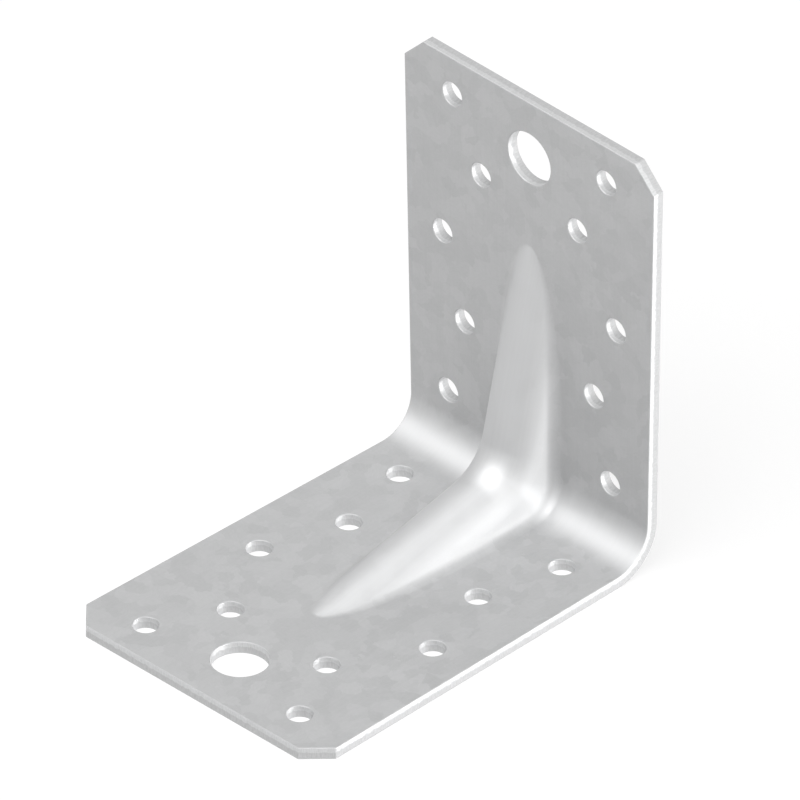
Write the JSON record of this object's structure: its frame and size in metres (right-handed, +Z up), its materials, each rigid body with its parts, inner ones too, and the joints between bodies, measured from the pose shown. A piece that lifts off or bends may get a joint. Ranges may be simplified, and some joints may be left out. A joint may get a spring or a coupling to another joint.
{
  "type": "stamped metal bracket",
  "caption": "Right-angle steel bracket folded from perforated sheet, with a pressed stiffening rib through the bend, nail holes and a bolt hole in each flange, and cropped corners.",
  "frame": {"origin": "centre of the bounding box on the underside of the floor flange, midway between its free end and the back of the upright flange", "axes": "+Z up along the upright flange, +Y towards the upright flange, +X across the width; the bracket is a mirror image of itself in the plane X = 0"},
  "size_m": [0.0648, 0.09, 0.09],
  "materials": {
    "zinc_coated_steel": "hot-dip galvanised sheet, satin"
  },
  "bodies": {
    "root": {"bracket": "zinc_coated_steel"}
  },
  "joints": []
}
